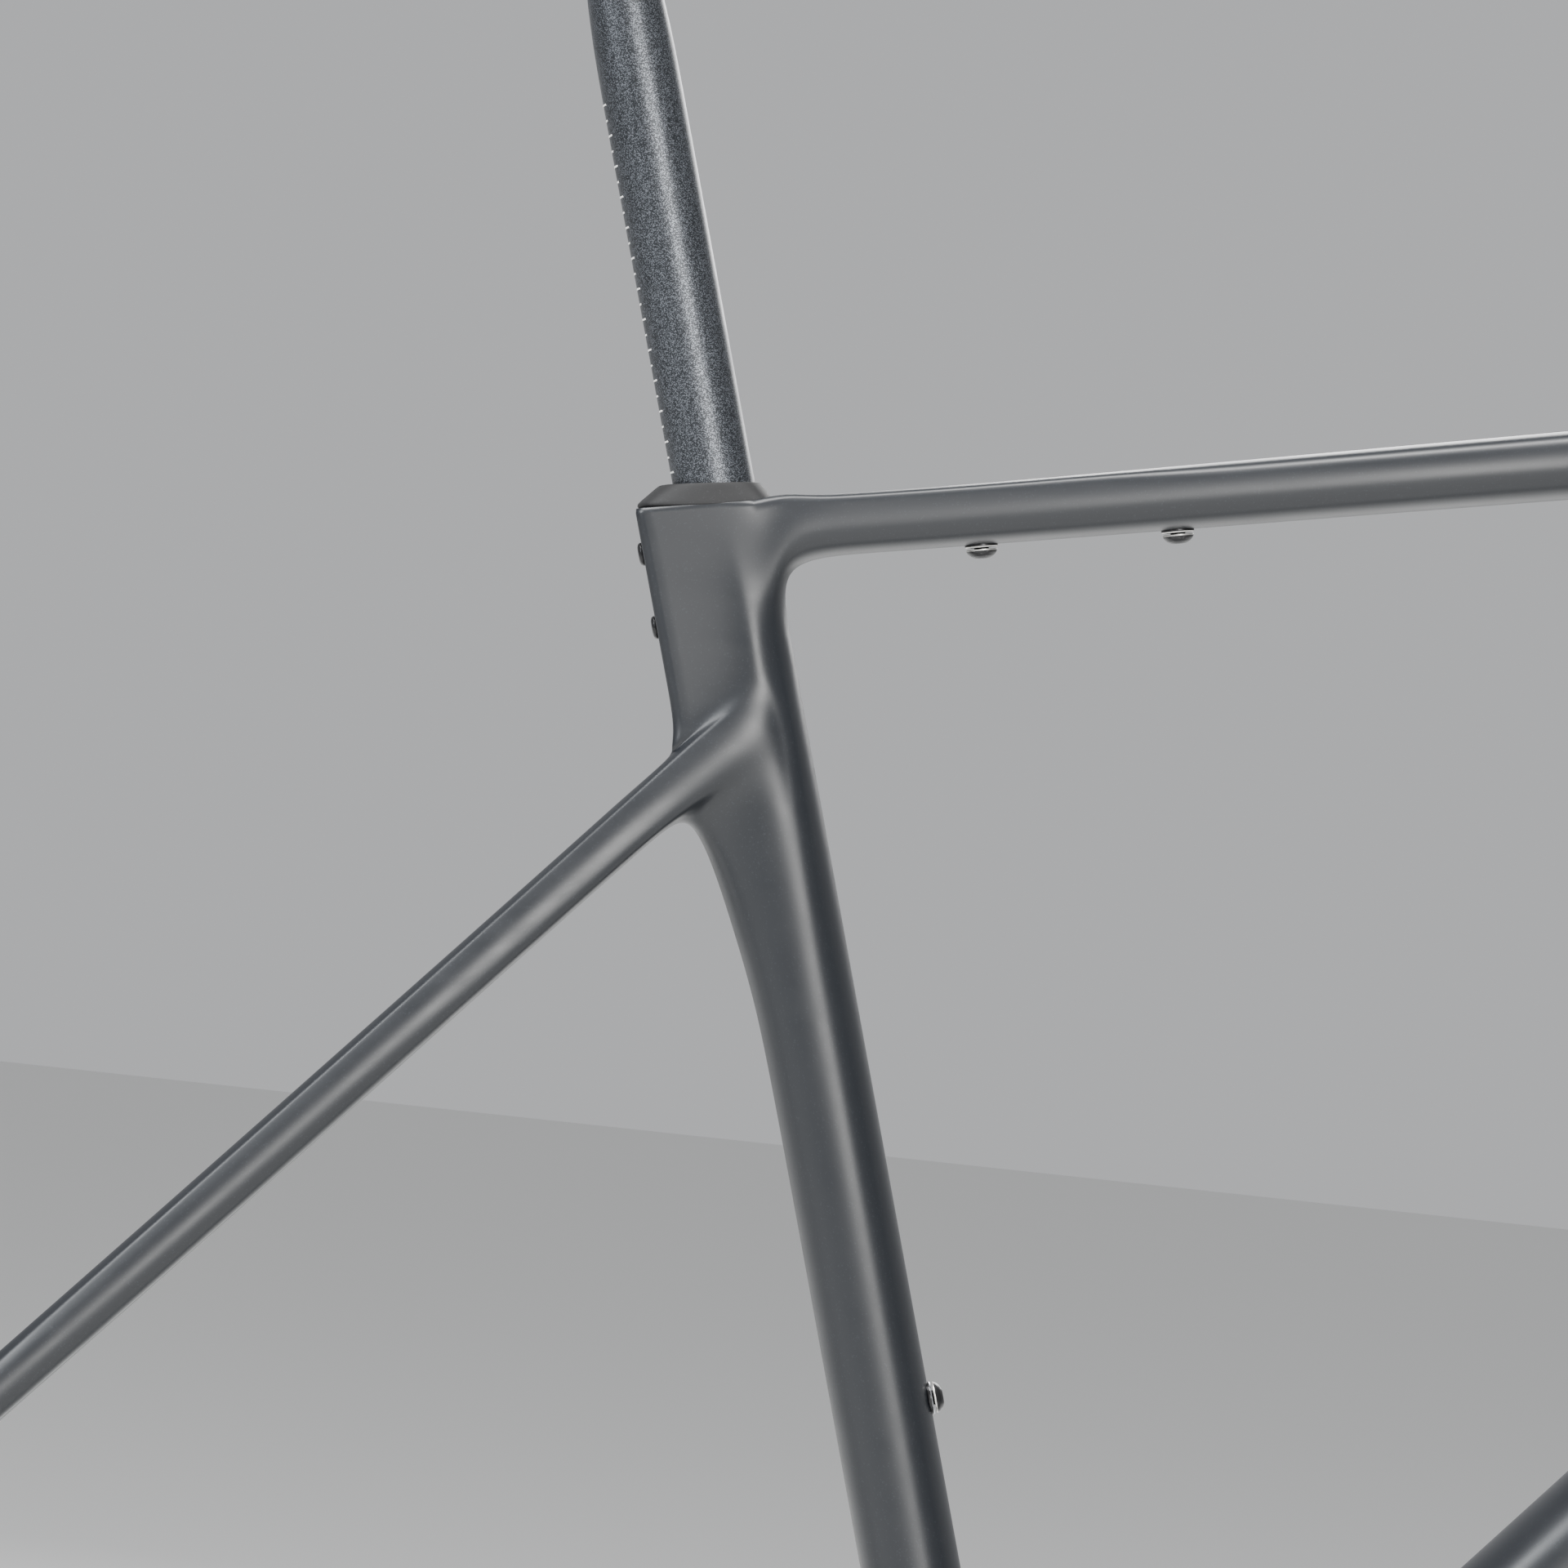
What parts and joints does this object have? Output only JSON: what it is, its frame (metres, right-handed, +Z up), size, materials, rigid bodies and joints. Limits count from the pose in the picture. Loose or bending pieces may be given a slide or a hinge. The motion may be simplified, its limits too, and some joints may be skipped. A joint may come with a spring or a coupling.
{
  "type": "bicycle frame",
  "caption": "Carbon road frame with dropped seatstays, a deep upper seat tube with rear clamp bolts, seatpost, headset, bottom bracket cups and rear axle.",
  "frame": {"origin": "Centre of the bottom bracket shell, on the crank spindle's axis.", "axes": "+X forward towards the head tube, +Y to the rider's left (non-drive side), +Z up with the wheels level."},
  "size_m": [0.9153, 0.1701, 0.7169],
  "materials": {
    "carbon_satin": "satin clear coat over near-black carbon, soft blue-grey highlights",
    "post_speckle": "fine metallic speckle on dark grey carbon",
    "cover_rubber": "matte charcoal moulded rubber",
    "protector_rubber": "matte black moulded rubber",
    "clamp_plastic": "black moulded nylon",
    "bare_alloy": "machined aluminium",
    "bright_steel": "turned stainless steel",
    "black_steel": "black oxide steel",
    "black_alloy": "black anodised aluminium"
  },
  "bodies": {
    "frame_body": {"head_tube": "carbon_satin", "top_tube": "carbon_satin", "down_tube": "carbon_satin", "seat_tube": "carbon_satin", "seat_cluster": "carbon_satin", "bottom_bracket_shell": "carbon_satin", "chainstay_left": "carbon_satin", "chainstay_right": "carbon_satin", "seatstay_left": "carbon_satin", "seatstay_right": "carbon_satin", "dropout_left": "carbon_satin", "dropout_right": "carbon_satin", "clamp_cover": "cover_rubber", "chainstay_protector": "protector_rubber", "bb_sleeve": "clamp_plastic", "cable_port_cover": "clamp_plastic", "clamp_thread_plate": "bare_alloy", "down_tube_boss_lower": "bare_alloy", "down_tube_boss_upper": "bare_alloy", "seat_tube_boss_lower": "bare_alloy", "seat_tube_boss_upper": "bare_alloy", "top_tube_boss_rear": "bright_steel", "top_tube_boss_front": "bright_steel", "headset_upper_outer_race": "bright_steel", "headset_lower_outer_race": "bright_steel", "top_tube_bolt_rear": "black_steel", "top_tube_bolt_front": "black_steel", "down_tube_bolt_lower": "black_steel", "down_tube_bolt_upper": "black_steel", "seat_tube_bolt_lower": "black_steel", "seat_tube_bolt_upper": "black_steel", "brake_bolt_front": "black_steel", "brake_bolt_rear": "black_steel", "hanger_bolt": "black_steel", "cable_port_screw": "black_steel", "bb_cup_left": "black_alloy", "bb_cup_right": "black_alloy", "derailleur_hanger": "black_alloy"},
    "seatpost_body": {"seatpost": "post_speckle"},
    "saddle_clamp_body": {"saddle_cradle_left": "black_alloy", "saddle_cradle_right": "black_alloy", "saddle_clamp_left": "black_alloy", "saddle_clamp_right": "black_alloy", "saddle_clamp_bolt": "black_steel", "saddle_clamp_nut": "black_steel"},
    "clamp_pad_body": {"clamp_pad": "clamp_plastic"},
    "clamp_bolt_upper_body": {"clamp_bolt_upper": "black_steel"},
    "clamp_bolt_lower_body": {"clamp_bolt_lower": "black_steel"},
    "rear_axle_body": {"thru_axle": "black_alloy"},
    "steering_upper_body": {"headset_upper_inner_race": "bright_steel", "headset_compression_ring": "bare_alloy", "headset_cover": "black_alloy"},
    "steering_lower_body": {"headset_lower_inner_race": "bright_steel"},
    "spindle_race_left_body": {"bb_inner_race_left": "bright_steel"},
    "spindle_race_right_body": {"bb_inner_race_right": "bright_steel"}
  },
  "joints": [
    {"name": "seatpost_height", "type": "slide", "parent": "frame_body", "child": "seatpost_body", "axis": [-0.284, 0, 0.9588], "range_m": [-0.04, 0.07]},
    {"name": "saddle_tilt", "type": "hinge", "parent": "seatpost_body", "child": "saddle_clamp_body", "pos_m": [-0.19938, 0, 0.67309], "axis": [0, 1, 0], "range_deg": [-15, 15]},
    {"name": "clamp_bolt_upper_travel", "type": "slide", "parent": "frame_body", "child": "clamp_bolt_upper_body", "axis": [-0.9588, 0, -0.284], "range_m": [0, 0.0015]},
    {"name": "clamp_bolt_lower_travel", "type": "slide", "parent": "frame_body", "child": "clamp_bolt_lower_body", "axis": [-0.9588, 0, -0.284], "range_m": [0, 0.0015]},
    {"name": "clamp_pad_travel", "type": "slide", "parent": "frame_body", "child": "clamp_pad_body", "axis": [-0.9588, 0, -0.284], "range_m": [0, 0.0015]},
    {"name": "rear_axle_withdrawal", "type": "slide", "parent": "frame_body", "child": "rear_axle_body", "axis": [0, 1, 0], "range_m": [0, 0.17]},
    {"name": "steering_upper_turn", "type": "hinge", "parent": "frame_body", "child": "steering_upper_body", "pos_m": [0.385, 0, 0.602], "axis": [-0.309, 0, 0.9511], "continuous": true},
    {"name": "steering_lower_turn", "type": "hinge", "parent": "frame_body", "child": "steering_lower_body", "pos_m": [0.44526, 0, 0.41654], "axis": [-0.309, 0, 0.9511], "continuous": true},
    {"name": "spindle_turn_left", "type": "hinge", "parent": "frame_body", "child": "spindle_race_left_body", "pos_m": [0, 0.0404, 0], "axis": [0, 1, 0], "continuous": true},
    {"name": "spindle_turn_right", "type": "hinge", "parent": "frame_body", "child": "spindle_race_right_body", "pos_m": [0, -0.0404, 0], "axis": [0, 1, 0], "continuous": true}
  ],
  "couplings": [
    {"joint": "clamp_bolt_lower_travel", "follows": "clamp_bolt_upper_travel", "ratio": 1},
    {"joint": "clamp_pad_travel", "follows": "clamp_bolt_upper_travel", "ratio": 1},
    {"joint": "steering_lower_turn", "follows": "steering_upper_turn", "ratio": 1},
    {"joint": "spindle_turn_left", "follows": "spindle_turn_right", "ratio": 1}
  ]
}
